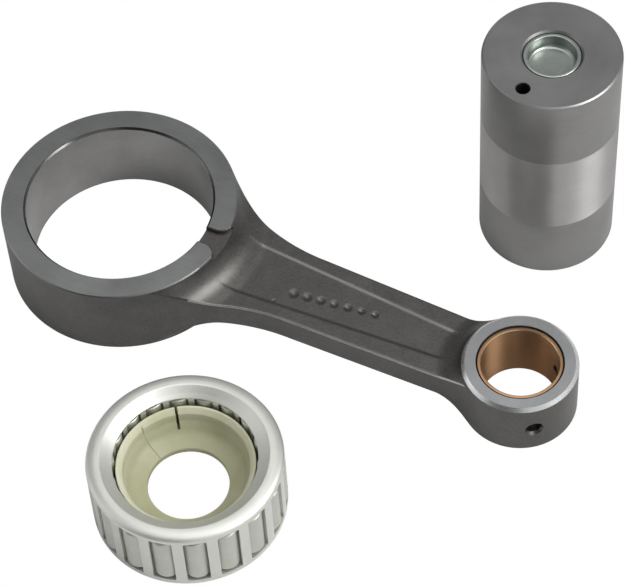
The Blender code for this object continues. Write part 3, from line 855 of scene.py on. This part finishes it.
# ----------------------------------------------------------------------- sleeve
sl = rounded([(17.7, 16.6, 0.25, 0), (17.7, 0.0, 0.4, 0), (16.1, 0.0, 0.3, 0), (16.1, 7.6, 1.5, 0),
              (10.4, 5.9, 0.3, 0), (10.4, 7.6, 0.5, 0), (14.6, 9.5, 4.0, 0), (16.1, 12.3, 2.4, 0),
              (16.1, 15.0, 0.6, 0), (17.1, 16.6, 0.2, 0)], 8)
SLEEVE = lathe("sleeve", sl, 192, BEARING_AT, [M_SLEEVE], angle=35.0)
cv, cf = [], []
box_cutter(cv, cf, rounded_rect(0.7, 8.6, 22.0, 0.3), 14.9, 19.5, (0, 0), 127.0)
cut(SLEEVE, cv, cf, BEARING_AT, 0, 35.0)
# thin parting line down the funnel
cv, cf = [], []
funnel = [(r, z - 0.22) for r, z, _ in sl if 10.45 < r < 16.05 and 7.2 < z < 14.4]
loop = funnel + [(16.6, 14.9), (16.6, 16.2), (9.6, 10.4), (9.6, funnel[0][1])]
a = math.radians(161.5)
for side in (-0.16, 0.16):
    for r, z in loop:
        cv.append((r * math.cos(a) - side * math.sin(a), r * math.sin(a) + side * math.cos(a), z))
n = len(loop)
cf += [list(range(n))[::-1], [n + i for i in range(n)]]
cf += [[i, (i + 1) % n, n + (i + 1) % n, n + i] for i in range(n)]
cut(SLEEVE, cv, cf, BEARING_AT, 0, 35.0)
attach(SLEEVE, "sleeve")
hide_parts("transport_sleeve")

# ================================================================ studio and view
scene = bpy.context.scene
scene.view_settings.view_transform = "Standard"
scene.view_settings.look = "None"

floor_mesh = bpy.data.meshes.new("floor")
bm = bmesh.new()
bmesh.ops.create_grid(bm, x_segments=1, y_segments=1, size=3.0)
bm.to_mesh(floor_mesh)
bm.free()
floor = bpy.data.objects.new("floor", floor_mesh)
floor.location = (0, 0, CAD_LO.z - 0.00005)
scene.collection.objects.link(floor)
mat, nt, sh = new_material("floor_pale")
sh.inputs["Base Color"].default_value = (0.74, 0.74, 0.74, 1)
sh.inputs["Roughness"].default_value = 0.9
sh.inputs["Specular IOR Level"].default_value = 0.1
glow = nt.nodes.new("ShaderNodeEmission")
glow.inputs["Strength"].default_value = 1.0
rays = nt.nodes.new("ShaderNodeLightPath")
either = nt.nodes.new("ShaderNodeMixShader")
out = nt.nodes["Material Output"]
nt.links.new(rays.outputs["Is Camera Ray"], either.inputs[0])
nt.links.new(sh.outputs[0], either.inputs[1])
nt.links.new(glow.outputs[0], either.inputs[2])
nt.links.new(either.outputs[0], out.inputs["Surface"])
floor_mesh.materials.append(mat)

world = bpy.data.worlds.new("studio")
world.use_nodes = True
scene.world = world
wt = world.node_tree
bg = wt.nodes["Background"]
tc = wt.nodes.new("ShaderNodeTexCoord")
sep = wt.nodes.new("ShaderNodeSeparateXYZ")
wt.links.new(tc.outputs["Generated"], sep.inputs[0])
AZ = math.radians(30.39)


def world_node(kind, operation, *values):
    n = wt.nodes.new(kind)
    n.operation = operation
    for socket, v in zip(n.inputs, values):
        if isinstance(v, (int, float, tuple)):
            socket.default_value = v
        else:
            wt.links.new(v, socket)
    return n.outputs["Value"]


def world_ramp(fac, stops):
    n = wt.nodes.new("ShaderNodeValToRGB")
    el = n.color_ramp.elements
    while len(el) < len(stops):
        el.new(0.5)
    for e, (p, v) in zip(el, stops):
        e.position = p
        e.color = (v, v, v * 1.01, 1)
    wt.links.new(fac, n.inputs["Fac"])
    return n.outputs["Color"]


# brightness round the horizon, from behind the set over the left to the camera's side at
# the middle and on over the right; the sky closes to one tone overhead
across = world_node("ShaderNodeVectorMath", "DOT_PRODUCT", tc.outputs["Generated"],
                    (math.cos(AZ), math.sin(AZ), 0.0))
near = world_node("ShaderNodeVectorMath", "DOT_PRODUCT", tc.outputs["Generated"],
                  (math.sin(AZ), -math.cos(AZ), 0.0))
turn = world_node("ShaderNodeMath", "ARCTAN2", across, near)
turn = world_node("ShaderNodeMath", "MULTIPLY_ADD", turn, 1 / math.tau, 0.5)


def at_az(deg):
    return (deg + 180.0) / 360.0


horizon = world_ramp(turn, [(at_az(-180), 0.30), (at_az(-122), 0.32), (at_az(-105), 0.80),
                            (at_az(-70), 0.76), (at_az(-56), 0.12), (at_az(-12), 0.08),
                            (at_az(6), 0.72), (at_az(100), 0.75), (at_az(125), 0.34),
                            (at_az(180), 0.30)])
zenith = world_ramp(sep.outputs[2], [(0.0, 0.0), (0.80, 0.0), (0.98, 1.0), (1.0, 1.0)])
sky = wt.nodes.new("ShaderNodeMix")
sky.data_type = "RGBA"
wt.links.new(zenith, sky.inputs[0])
wt.links.new(horizon, sky.inputs[6])
sky.inputs[7].default_value = (0.68, 0.68, 0.68, 1)
wt.links.new(sky.outputs[2], bg.inputs["Color"])
bg.inputs["Strength"].default_value = 1.0

# camera, from the angle at which the set is laid out
EL, DIST, ROLL = math.radians(53.86), 746.0 * MM, math.radians(-4.11)
FOCAL_PX, LONG_PX = 2785.0, 625.0
target = BIG_AT + Vector((51.85, 9.26, 0.3)) * MM
right = Vector((math.cos(AZ), math.sin(AZ), 0))
forward = Vector((-math.sin(AZ) * math.cos(EL), math.cos(AZ) * math.cos(EL), -math.sin(EL)))
up = right.cross(forward)
r2 = right * math.cos(ROLL) + up * math.sin(ROLL)
u2 = -right * math.sin(ROLL) + up * math.cos(ROLL)
cam_data = bpy.data.cameras.new("camera")
cam_data.sensor_width = 36.0
cam_data.lens = 36.0 * FOCAL_PX / LONG_PX
cam_data.clip_start = 0.05
cam_data.clip_end = 20.0
cam = bpy.data.objects.new("camera", cam_data)
scene.collection.objects.link(cam)
rot = Matrix((r2, u2, -forward)).transposed().to_4x4()
cam.matrix_world = Matrix.Translation(target - forward * DIST) @ rot
scene.camera = cam


def softbox(name, az, el, dist, size, power, aim=(0.0, 0.0, 0.01)):
    """Area light; azimuth and elevation of the light as seen from the set, with azimuth
    0 on the camera's side and positive to its right."""
    a = AZ + math.radians(az)
    e = math.radians(el)
    d = Vector((math.sin(a) * math.cos(e), -math.cos(a) * math.cos(e), math.sin(e)))
    data = bpy.data.lights.new(name, "AREA")
    data.shape = "RECTANGLE"
    data.size, data.size_y = size
    data.energy = power
    obj = bpy.data.objects.new(name, data)
    obj.location = Vector(aim) + d * dist
    obj.rotation_mode = "QUATERNION"
    obj.rotation_quaternion = d.to_track_quat("Z", "Y")
    scene.collection.objects.link(obj)
    return obj


# radiance of a box light is its power / (pi x area)
softbox("over", 20, 80, 0.9, (0.55, 0.55), 0.85)
softbox("right", 70, 47, 0.9, (0.42, 0.42), 4.1)
softbox("left", -98, 14, 0.9, (0.45, 0.35), 0.2)
softbox("back", 176, 71, 0.9, (0.50, 0.33), 0.75)
